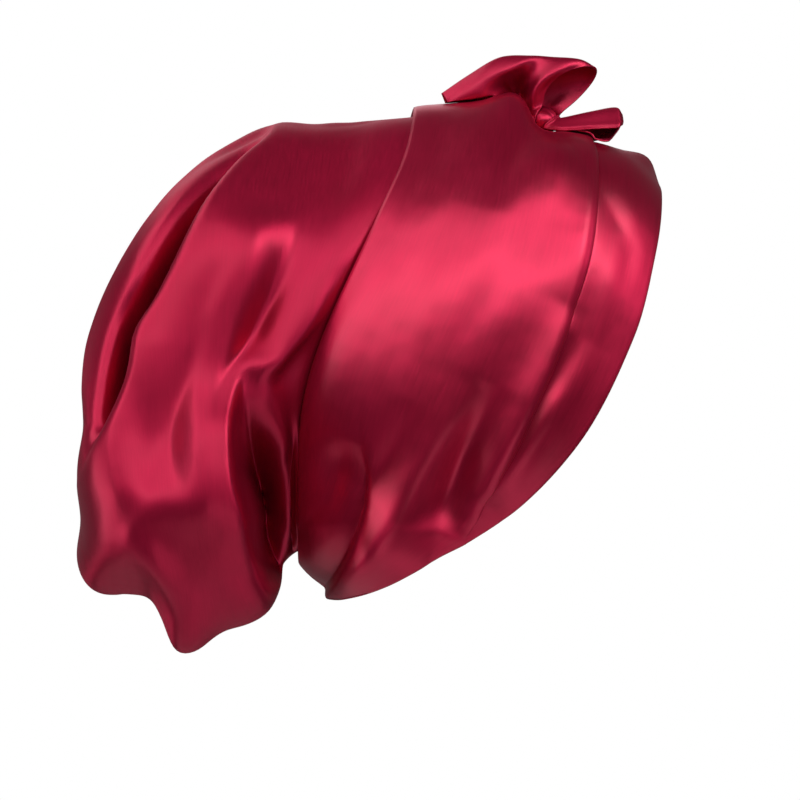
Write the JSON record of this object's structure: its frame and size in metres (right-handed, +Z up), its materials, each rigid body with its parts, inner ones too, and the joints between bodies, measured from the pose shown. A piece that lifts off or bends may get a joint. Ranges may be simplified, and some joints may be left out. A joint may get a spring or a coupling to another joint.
{
  "type": "sleep bonnet",
  "caption": "Slouchy satin sleep bonnet with a gathered crown bag, a wide pleated band and a knotted tie on top, shaped as worn on a head.",
  "frame": {"origin": "middle of the head that the bonnet is worn on, about halfway between the ears and above the chin line", "axes": "+X towards the wearer's face, +Z up to the top of the head, -Y towards the wearer's right side"},
  "size_m": [0.2644, 0.1815, 0.273],
  "materials": {
    "crown_satin": "wine red satin with a soft sheen",
    "band_satin": "wine red satin with a soft sheen",
    "tie_satin": "wine red satin with a soft sheen, duller on its back"
  },
  "bodies": {
    "root": {"crown": "crown_satin", "band": "band_satin", "knot": "tie_satin", "tie_end_back": "tie_satin", "tie_end_front": "tie_satin"}
  },
  "joints": []
}
